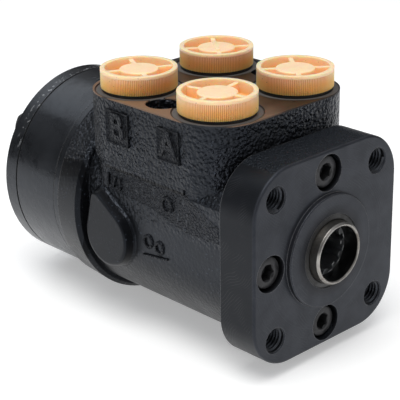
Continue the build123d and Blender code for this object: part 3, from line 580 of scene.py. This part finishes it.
def capFinish():
    # translucent orange polyethylene
    look = capPlastic
    tree, shader, place, axis = startFinish("capPlastic", look["color"], 0.36, Specular_IOR_Level=0.45,
                                            Subsurface_Weight=0.75, Subsurface_Scale=look["scatterDepth"])
    shader.inputs["Subsurface Radius"].default_value = look["scatter"]
    film = useGroup(tree, "oilFilm", Place=place, Size=0.16)[0]
    # painted light and shade: paler towards the top and the rim, deeper orange low down and in the pockets
    color = blendColor(tree, fade(tree, axis["Z"], *look["lightRise"]), look["low"], look["high"])
    color = blendColor(tree, times(tree, film, 0.18), color, look["handled"])
    # painted shade in the valleys of the knurl, and specks on the rim
    fromAxis = fromPort(tree, axis)
    outer, inner = look["valleyShadeRing"]
    valley = times(tree, fade(tree, fromAxis, *outer), fade(tree, fromAxis, *inner))
    valley = times(tree, valley, fade(tree, axis["Z"], *look["valleyShadeTop"]))
    color = blendColor(tree, times(tree, valley, 0.75), color, look["valleyShade"])
    specks = fade(tree, noise(tree, place, 1.5, 2.0), *look["speckSize"])
    specks = times(tree, specks, fade(tree, fromAxis, *look["speckRim"]))
    tree.links.new(blendColor(tree, specks, color, look["speck"]), shader.inputs["Base Color"])
    tree.links.new(timesPlus(tree, film, 0.12, 0.34), shader.inputs["Roughness"])
    bumpy(tree, shader, noise(tree, place, 0.8, 3.0), 0.03)


def floorFinish():
    tree, shader, place, axis = startFinish("paleFloor", studio["floorColor"], 0.6,
                                            Emission_Strength=studio["floorGlow"])
    shader.inputs["Emission Color"].default_value = (1, 1, 1, 1)


nodesOfFinish = {
    "castBlack": ["housing"],
    "coverBlack": ["front_cover"],
    "stackBlack": ["spacer_plate", "stator_ring", "end_cover"],
    "darkScrews": ["cover_screws", "end_bolts", "ball_stop_bolt", "bolt_washers"],
    "spoolSteel": ["spool"],
    "groundSteel": ["sleeve", "rotor", "rotor_spacer", "drive_shaft", "cross_pin", "check_ball",
                    "ball_stop_pin", "bearing_race_front", "bearing_race_rear", "needle_thrust_bearing"],
    "springSteel": ["centering_springs", "spring_retaining_ring"],
    "rubber": ["dust_wiper", "shaft_seal", "cover_o_ring", "housing_o_ring", "stator_o_ring",
               "end_cover_o_ring", "plug_seal_a", "plug_seal_b", "plug_seal_p", "plug_seal_t"],
    "capPlastic": ["port_plug_a", "port_plug_b", "port_plug_p", "port_plug_t"],
}


def finishNodes():
    for finish, names in nodesOfFinish.items():
        for name in names:
            nodes[name].data.materials.clear()
            nodes[name].data.materials.append(finishes[finish])


# modelling helpers, their sizes and places are in millimetres
def editAll(shape):
    onlySelected(shape)
    bpy.ops.object.mode_set(mode="EDIT")
    bpy.ops.mesh.select_mode(type="VERT")
    bpy.ops.mesh.select_all(action="SELECT")


def editDone():
    bpy.ops.object.mode_set(mode="OBJECT")


def pick(shape, kind, test):
    # selects the verts or faces that pass the test, in edit mode
    bpy.ops.mesh.select_mode(type=kind)
    bpy.ops.mesh.select_all(action="DESELECT")
    mesh = bmesh.from_edit_mesh(shape.data)
    for item in (mesh.faces if kind == "FACE" else mesh.verts):
        spot = item.calc_center_median() if kind == "FACE" else item.co
        item.select_set(test(spot / mm, item.normal))
    mesh.select_flush(True)
    bmesh.update_edit_mesh(shape.data)


def applyPlace(shape):
    onlySelected(shape)
    bpy.ops.object.transform_apply(location=True, rotation=True, scale=True)


def applyAll(shape):
    onlySelected(shape)
    for modifier in list(shape.modifiers):
        bpy.ops.object.modifier_apply(modifier=modifier.name)


def softenEdges(shape, width, angle=35, steps=2):
    edge = shape.modifiers.new("edge", "BEVEL")
    edge.width = width * mm
    edge.limit_method = "ANGLE"
    edge.angle_limit = math.radians(angle)
    edge.segments = steps
    edge.use_clamp_overlap = True
    applyAll(shape)


def combine(shape, other, how):
    boolean = shape.modifiers.new("join", "BOOLEAN")
    boolean.operation = how
    boolean.solver = "EXACT"
    boolean.object = other
    applyAll(shape)
    bpy.data.objects.remove(other, do_unlink=True)


def smooth(shape, angle=32):
    onlySelected(shape)
    bpy.ops.object.shade_smooth_by_angle(angle=math.radians(angle))


def placeAt(shape, degrees, place):
    shape.rotation_euler = [math.radians(angle) for angle in degrees]
    shape.location = [value * mm for value in place]
    applyPlace(shape)
    return shape


def box(name, middle, size, lean=(0, 0, 0)):
    shape = addShape(name, bpy.ops.mesh.primitive_cube_add, size=1)
    shape.scale = [value * mm for value in size]
    return placeAt(shape, lean, middle)


def prism(name, sides, radius, tall, middle):
    # stands on Z, middle is the height of its middle
    shape = addShape(name, bpy.ops.mesh.primitive_cylinder_add, vertices=sides, radius=radius * mm,
                     depth=tall * mm, location=(0, 0, middle * mm))
    applyPlace(shape)
    return shape


def turned(name, steps, sides=96):
    # a circle pulled along Z through (radius, height) steps, closed at both ends
    radius, height = steps[0]
    shape = addShape(name, bpy.ops.mesh.primitive_circle_add, vertices=sides, radius=radius * mm,
                     location=(0, 0, height * mm))
    applyPlace(shape)
    editAll(shape)
    for (radius, height), (nextRadius, nextHeight) in zip(steps, steps[1:]):
        up = (0, 0, (nextHeight - height) * mm)
        bpy.ops.mesh.extrude_region_move(TRANSFORM_OT_translate={"value": up})
        bpy.ops.transform.resize(value=(nextRadius / radius, nextRadius / radius, 1),
                                 center_override=(0, 0, nextHeight * mm))
    bpy.ops.mesh.select_all(action="SELECT")
    bpy.ops.mesh.fill_holes(sides=0)
    bpy.ops.mesh.normals_make_consistent(inside=False)
    editDone()
    return shape


crestShares = (0.42, 0.58)  # where the crest starts and ends within the pitch


def threadSteps(start, end, crest, root, pitch):
    # one ridge for each turn of the thread, with a narrow flat crest in its middle
    steps = []
    direction = 1 if end > start else -1
    for turn in range(int(abs(end - start) / pitch)):
        low = start + direction * turn * pitch
        steps += [(root, low)] + [(crest, low + direction * share * pitch) for share in crestShares]
    return steps + [(root, end)]


def threadedShank(name, top, size):
    low = -size["plain"]
    ridges = threadSteps(low, -size["long"] + 0.8, size["shank"], size["root"], size["pitch"])
    point = [(size["root"] - 0.3, -size["long"])]
    return turned(name, top + [(size["shank"], low)] + ridges + point, 48)


def duplicate(shape, name):
    other = shape.copy()
    other.data = shape.data.copy()
    other.name = other.data.name = name
    bpy.context.collection.objects.link(other)
    return other


def joined(shapes, name):
    noneSelected()
    for shape in shapes:
        shape.select_set(True)
    bpy.context.view_layer.objects.active = shapes[0]
    bpy.ops.object.join()
    shapes[0].name = shapes[0].data.name = name
    return shapes[0]


def finished(shape, finish, body, slot, *replaced):
    applyPlace(shape)
    shape.data.materials.clear()
    shape.data.materials.append(finishes[finish])
    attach(shape, body)
    if replaced:
        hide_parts(*replaced)


# transport caps
cap = {
    "radius": 15.75, "low": 54.3, "high": 62.2, "wall": 1.9, "pocket": 4.9, "soft": 0.32,
    "hub": 8.0, "hubHigh": 61.5, "hubFoot": 0.35, "rib": 1.9, "ribGap": 0.8, "strip": (13.0, 1.9, 0.9),
    "columns": 264, "knurl": 0.36, "knurlHigh": 61.1, "knurlFade": 0.5,
    "stem": 10.40, "root": 9.75, "bore": 8.28, "stemLow": 45.8, "pitch": 1.814,
}
capPlaces = {  # x, y, turn
    "a": (-22.0, 37.8, 12.5), "b": (-22.0, 83.2, 62.5), "p": (22.0, 37.8, 50.5), "t": (22.0, 83.2, 52.5),
}


def knurlCap(body):
    # every other column is moved inwards up to knurlHigh
    high = cap["knurlHigh"]
    stepAngle = 2 * math.pi / cap["columns"]

    def inValley(spot, normal):
        column = math.atan2(spot.y, spot.x) / stepAngle
        onColumn = abs(column - round(column)) < 0.1 and round(column) % 2 == 1
        return onColumn and math.hypot(spot.x, spot.y) > cap["radius"] - 0.4 and spot.z < high - 0.2

    editAll(body)
    bpy.ops.mesh.bisect(plane_co=(0, 0, high * mm), plane_no=(0, 0, 1))
    bpy.ops.mesh.select_all(action="SELECT")
    bpy.ops.mesh.bisect(plane_co=(0, 0, (high - cap["knurlFade"]) * mm), plane_no=(0, 0, 1))
    pick(body, "VERT", inValley)
    squeeze = 1 - cap["knurl"] / cap["radius"]
    bpy.ops.transform.resize(value=(squeeze, squeeze, 1), center_override=(0, 0, 0))
    editDone()


def makeCapShape():
    low, hub, hubHigh = cap["low"], cap["hub"], cap["hubHigh"]
    tall = cap["high"] - low
    body = prism("capShape", cap["columns"], cap["radius"], tall, low + tall / 2)
    editAll(body)
    pick(body, "FACE", lambda spot, normal: normal.z > 0.9)
    bpy.ops.mesh.inset(thickness=cap["wall"] * mm)
    bpy.ops.mesh.extrude_region_move(TRANSFORM_OT_translate={"value": (0, 0, -cap["pocket"] * mm)})
    editDone()
    for angle in (0, 90):
        size = (2 * cap["radius"] - 2 * cap["ribGap"], cap["rib"], hubHigh - low - 0.3)
        combine(body, box("capBar", (0, 0, (hubHigh + low) / 2), size, (0, 0, angle)), "UNION")
    profile = [(hub + cap["hubFoot"], low + 1.0), (hub, cap["high"] - cap["pocket"] + 1.5),
               (hub, hubHigh - 0.35), (hub - 0.35, hubHigh - 0.05), (hub - 1.2, hubHigh),
               (0.5, hubHigh + 0.12)]
    combine(body, turned("capHub", profile, 72), "UNION")
    softenEdges(body, cap["soft"], 38, 2)
    profile = [(cap["stem"], low + 0.6)]
    profile += threadSteps(low - 0.6, cap["stemLow"] + 0.8, cap["stem"], cap["root"], cap["pitch"])
    profile += [(cap["root"], cap["stemLow"] + 0.4), (cap["root"] - 0.4, cap["stemLow"]),
                (cap["bore"], cap["stemLow"]), (cap["bore"], low + 0.6)]
    combine(body, turned("capStem", profile, 72), "UNION")
    knurlCap(body)
    smooth(body, 28)
    return body


def makeCaps():
    shape = makeCapShape()
    for port, (x, y, angle) in capPlaces.items():
        one = duplicate(shape, "portCap_" + port)
        if port == "t":
            strip = box("capStrip", (0, 0, cap["hubHigh"] + 0.1), cap["strip"])
            softenEdges(strip, 0.25)
            smooth(strip)
            combine(one, strip, "UNION")
            smooth(one, 28)
        placeAt(one, (0, 0, angle), (x, y, 0))
        finished(one, "capPlastic", "plug_" + port, "plug_plastic", "port_plug_" + port)
    bpy.data.objects.remove(shape, do_unlink=True)
    print("caps ready")


# socket head screws of the cover
coverScrew = {
    "circle": 32.0, "turns": {90: 14, 180: 37, 270: 5},  # angle on the circle, turn of the socket
    "seat": 9.5, "head": 6.5, "tall": 8.0, "sides": 96, "flutes": 0.972, "key": 6.0, "deep": 4.5,
    "shank": 4.0, "root": 3.4, "plain": 3.0, "long": 20.0, "pitch": 1.25,
}


def makeCoverScrews():
    size = coverScrew
    wide, tall = size["head"], size["tall"]
    bottom = tall - size["deep"]
    head = turned("screwHead", [(wide - 0.3, 0), (wide, 0.3), (wide, tall - 0.9), (wide - 0.25, tall - 0.35),
                                (wide - 0.9, tall)], size["sides"])

    def inFlute(spot, normal):
        column = round(math.atan2(spot.y, spot.x) * size["sides"] / 2 / math.pi)
        return 0.2 < spot.z < tall - 0.8 and column % 2 == 1

    editAll(head)
    pick(head, "VERT", inFlute)
    bpy.ops.transform.resize(value=(size["flutes"], size["flutes"], 1), center_override=(0, 0, 0))
    editDone()
    keyRadius = size["key"] / 2 / math.cos(math.pi / 6)
    for cutter in (prism("screwSocket", 6, keyRadius, size["deep"], tall - size["deep"] / 2 + 0.01),
                   turned("screwMouth", [(2.9, tall - 0.75), (3.85, tall + 0.2)], 48),
                   turned("screwPoint", [(0.05, bottom - 1.3), (2.8, bottom + 0.1)], 36)):
        combine(head, cutter, "DIFFERENCE")
    combine(head, threadedShank("screwShank", [(size["shank"], 0.2)], size), "UNION")
    smooth(head, 30)
    copies = []
    for number, (angle, turn) in enumerate(size["turns"].items()):
        one = duplicate(head, "coverScrewCopy%d" % number)
        across = size["circle"] * math.cos(math.radians(angle))
        up = size["circle"] * math.sin(math.radians(angle))
        copies.append(placeAt(one, (90, turn, 0), (across, size["seat"], up)))
    bpy.data.objects.remove(head, do_unlink=True)
    finished(joined(copies, "coverScrewSet"), "darkScrews", "unit", "dark_screws", "cover_screws")
    print("cover screws ready")


# hexagon bolts at the rear, the first one stops the check ball
endBolt = {
    "circle": 32.6, "count": 7, "turn": 23, "seat": 152.5, "flats": 13.0, "tall": 5.3, "gap": 0.4,
    "washer": 6.1, "shank": 4.0, "root": 3.4, "plain": 28.0, "long": 50.0, "pitch": 1.25,
}


def makeEndBolts():
    size = endBolt
    tall = size["tall"]
    corner = size["flats"] / 2 / math.cos(math.pi / 6)
    hexagon = tall - size["gap"]
    head = prism("boltHead", 6, corner, hexagon, size["gap"] + hexagon / 2)
    crown = [(corner + 0.3, -1), (corner + 0.3, tall - 1.05), (size["flats"] / 2 - 0.15, tall)]
    combine(head, turned("boltCrown", crown, 72), "INTERSECT")
    softenEdges(head, 0.12, 30, 2)
    combine(head, turned("boltDish", [(4.3, tall - 0.35), (4.9, tall + 0.1)], 60), "DIFFERENCE")
    top = [(size["washer"], 0.5), (size["washer"], 0.0), (size["shank"], 0.0)]
    combine(head, threadedShank("boltShank", top, size), "UNION")
    smooth(head, 30)
    copies = []
    for number in range(size["count"]):
        angle = math.radians(90 + number * 360 / size["count"])
        one = duplicate(head, "endBoltCopy%d" % number)
        place = (-size["circle"] * math.cos(angle), size["seat"], size["circle"] * math.sin(angle))
        copies.append(placeAt(one, (-90, number * size["turn"], 0), place))
    bpy.data.objects.remove(head, do_unlink=True)
    copies[0].name = copies[0].data.name = "ballStopBoltPiece"
    finished(copies[0], "darkScrews", "unit", "dark_screws", "ball_stop_bolt")
    finished(joined(copies[1:], "endBoltSet"), "darkScrews", "unit", "dark_screws", "end_bolts")
    print("end bolts ready")


# threads in the four column holes
columnThread = {
    "half": 29.186, "outer": 5.02, "inner": 4.28, "pitch": 1.5, "foot": 0.86, "crest": 0.16, "start": 1.2,
    "turns": 9, "steps": 40, "turn": 70,
}


def makeColumnThreads():
    size = columnThread
    wide = size["outer"] - size["inner"]
    middle = size["inner"] + wide / 2
    coil = addShape("threadCoil", bpy.ops.mesh.primitive_plane_add, size=1)
    coil.scale = (wide * mm, size["pitch"] * size["foot"] * mm, 1)
    placeAt(coil, (90, 0, 0), (middle, 0, 0))
    editAll(coil)
    pick(coil, "VERT", lambda spot, normal: spot.x < middle)
    bpy.ops.transform.resize(value=(1, 1, size["crest"]), center_override=(size["inner"] * mm, 0, 0))
    bpy.ops.mesh.select_all(action="SELECT")
    bpy.ops.mesh.delete(type="ONLY_FACE")
    editDone()
    screw = coil.modifiers.new("screw", "SCREW")
    screw.axis = "Z"
    screw.screw_offset = size["pitch"] * mm
    screw.iterations = size["turns"]
    screw.steps = screw.render_steps = size["steps"]
    screw.use_normal_calculate = True
    applyAll(coil)
    editAll(coil)
    bpy.ops.mesh.fill_holes(sides=0)
    bpy.ops.mesh.normals_make_consistent(inside=False)
    editDone()
    smooth(coil, 30)
    copies = []
    for number, (sideX, sideZ) in enumerate(((1, 1), (-1, 1), (-1, -1), (1, -1))):
        one = duplicate(coil, "threadCopy%d" % number)
        place = (sideX * size["half"], size["start"], sideZ * size["half"])
        copies.append(placeAt(one, (-90, size["turn"] * number, 0), place))
    bpy.data.objects.remove(coil, do_unlink=True)
    finished(joined(copies, "columnThreads"), "threadBlack", "unit", "black_cover")
    print("threads ready")


# cast port letters in sunk pads on the left side
portMark = {
    "face": -40.2, "pad": 0.75, "rim": 0.9, "sunk": 0.65, "cuts": 14, "soft": 0.16,
    "letter": 0.75, "tall": 10.2, "capital": 0.69, "bold": 0.28, "bevel": 0.2,  # capital height by text size
}
portMarks = {"B": (76.3, 41.9, 13.2, 13.8), "A": (46.4, 41.8, 12.2, 13.2)}  # y, z, width, height


def makeLetter(letter):
    noneSelected()
    bpy.ops.object.text_add(location=(0, 0, 0))
    text = bpy.context.active_object
    text.data.body = letter
    text.data.size = portMark["tall"] / portMark["capital"] * mm
    text.data.align_x = "CENTER"
    text.data.align_y = "CENTER"
    text.data.extrude = portMark["letter"] * mm
    text.data.offset = portMark["bold"] * mm
    text.data.bevel_depth = portMark["bevel"] * mm
    text.data.bevel_resolution = 2
    bpy.ops.object.convert(target="MESH")
    return bpy.context.active_object


def makePortMarks():
    face, thick, rim = portMark["face"], portMark["pad"], portMark["rim"]
    for letter, (y, z, wide, high) in portMarks.items():
        def inRim(spot, normal):
            return normal.x < -0.9 and abs(spot.y - y) < wide / 2 - rim and abs(spot.z - z) < high / 2 - rim

        pad = box("padShape", (face - thick / 2 + 0.25, y, z), (thick + 0.5, wide, high))
        editAll(pad)
        bpy.ops.mesh.subdivide(number_cuts=portMark["cuts"])
        pick(pad, "FACE", inRim)
        bpy.ops.transform.translate(value=(portMark["sunk"] * mm, 0, 0))
        editDone()
        softenEdges(pad, portMark["soft"], 40, 2)
        sign = placeAt(makeLetter(letter), (90, 0, -90), (face - 0.05, y, z))
        piece = joined([pad, sign], "portMark_" + letter)
        smooth(piece, 35)
        finished(piece, "markBlack", "unit", "black_casting")
    print("port marks ready")


# rough band, smooth skirt and raised casting marks on the left side of the body
castBand = {
    "wall": -39.4, "deep": 0.6, "band": 0.72, "skirt": 1.41, "cuts": 11, "rough": 0.7, "grain": 1.7,
    "markRough": 0.3, "markGrain": 0.9, "ringSquash": 0.86, "barThick": 1.9, "barSoft": 0.35,
}
bandEdges = [  # y, low z, high z
    (20.3, 8.2, 14.8), (29.2, 7.6, 18.8), (38.5, 7.4, 23.4), (48.0, 9.6, 23.4),
    (58.0, 12.3, 23.3), (67.0, 13.0, 23.3), (75.5, 13.3, 23.3), (83.0, 13.5, 23.4),
]
skirtEdges = [(38.6, 23.4, 26.0), (60.0, 23.4, 26.0), (85.0, 23.4, 26.0)]
castRings = [(48.7, 16.4, 3.2), (60.6, -2.8, 2.7), (54.0, -3.8, 2.7)]  # y, z, radius
castBars = [  # y, z, width, height, lean
    (84.0, 18.2, 1.3, 5.2, 0), (80.2, 17.9, 1.3, 5.2, 18), (76.6, 17.6, 1.3, 5.2, 0),
    (56.4, -8.2, 15.0, 0.8, -7),
]


def wallStrip(name, edges, x, thick):
    # a strip along the wall, drawn out edge by edge
    shape = addShape(name, bpy.ops.mesh.primitive_plane_add, size=2 * mm, rotation=(0, math.radians(90), 0))
    applyPlace(shape)
    editAll(shape)
    pick(shape, "VERT", lambda spot, normal: spot.y > 0)
    bpy.ops.mesh.delete(type="VERT")
    bpy.ops.mesh.select_all(action="SELECT")
    y, low, high = edges[0]
    bpy.ops.transform.resize(value=(1, 1, (high - low) / 2), center_override=(0, 0, 0))
    bpy.ops.transform.translate(value=(x * mm, (y + 1) * mm, (low + high) / 2 * mm))
    for (y, low, high), (nextY, nextLow, nextHigh) in zip(edges, edges[1:]):
        middle = (nextLow + nextHigh) / 2
        along = (0, (nextY - y) * mm, (middle - (low + high) / 2) * mm)
        bpy.ops.mesh.extrude_region_move(TRANSFORM_OT_translate={"value": along})
        bpy.ops.transform.resize(value=(1, 1, (nextHigh - nextLow) / (high - low)),
                                 center_override=(x * mm, nextY * mm, middle * mm))
    bpy.ops.mesh.select_all(action="SELECT")
    bpy.ops.mesh.subdivide(number_cuts=castBand["cuts"])
    bpy.ops.mesh.extrude_region_move(TRANSFORM_OT_translate={"value": (-thick * mm, 0, 0)})
    bpy.ops.mesh.select_all(action="SELECT")
    bpy.ops.mesh.normals_make_consistent(inside=False)
    editDone()
    return shape


def roughen(shape, strength, grain):
    cloud = bpy.data.textures.new(shape.name + "Cloud", "CLOUDS")
    cloud.noise_scale = grain * mm
    cloud.noise_depth = 2
    wear = shape.modifiers.new("wear", "DISPLACE")
    wear.texture = cloud
    wear.texture_coords = "GLOBAL"
    wear.strength = strength * mm
    wear.mid_level = 0.55
    applyAll(shape)


def makeCastMarks(wall):
    pieces = []
    for y, z, radius in castRings:
        profile = [(radius + 0.6, -0.6), (radius + 0.45, 0.95), (radius + 0.1, 1.25), (radius - 0.35, 1.25)]
        ring = turned("castRing", profile, 40)
        combine(ring, turned("castRingHole", [(radius - 0.9, -1), (radius - 0.6, 2)], 40), "DIFFERENCE")
        ring.scale = (1, castBand["ringSquash"], 1)
        pieces.append(placeAt(ring, (0, -90, 0), (wall + 0.45, y, z)))
    for y, z, wide, high, lean in castBars:
        bar = box("castBar", (wall, y, z), (castBand["barThick"], wide, high), (lean, 0, 0))
        softenEdges(bar, castBand["barSoft"], 35, 3)
        pieces.append(bar)
    marks = joined(pieces, "castMarks")
    roughen(marks, castBand["markRough"], castBand["markGrain"])
    smooth(marks, 50)
    finished(marks, "markBlack", "unit", "black_casting")


def makeCastBand():
    wall, start = castBand["wall"], castBand["wall"] + castBand["deep"]
    band = wallStrip("castBand", bandEdges, start, castBand["band"])
    roughen(band, castBand["rough"], castBand["grain"])
    smooth(band, 60)
    finished(band, "bandBlack", "unit", "black_casting")
    skirt = wallStrip("castSkirt", skirtEdges, start, castBand["skirt"])
    smooth(skirt, 40)
    finished(skirt, "castBlack", "unit", "black_casting")
    makeCastMarks(wall)
    print("cast band ready")


bpy.context.scene.view_settings.view_transform = "Standard"
setCamera()
setLamps()
setSky()
print("studio ready")
buildFoundrySkin()
buildTurnedMarks()
buildWornEdge()
buildOilFilm()
castBlackFinish()
coverFinish()
stackFinish()
for name, look in steels.items():
    steelFinish(name, look)
screwFinish()
for name, look in smallPaints.items():
    smallPaintFinish(name, look)
rubberFinish()
capFinish()
floorFinish()
makeFloor()
finishNodes()
print("finishes ready")
makeCaps()
makeCoverScrews()
makeEndBolts()
makeColumnThreads()
makePortMarks()
makeCastBand()
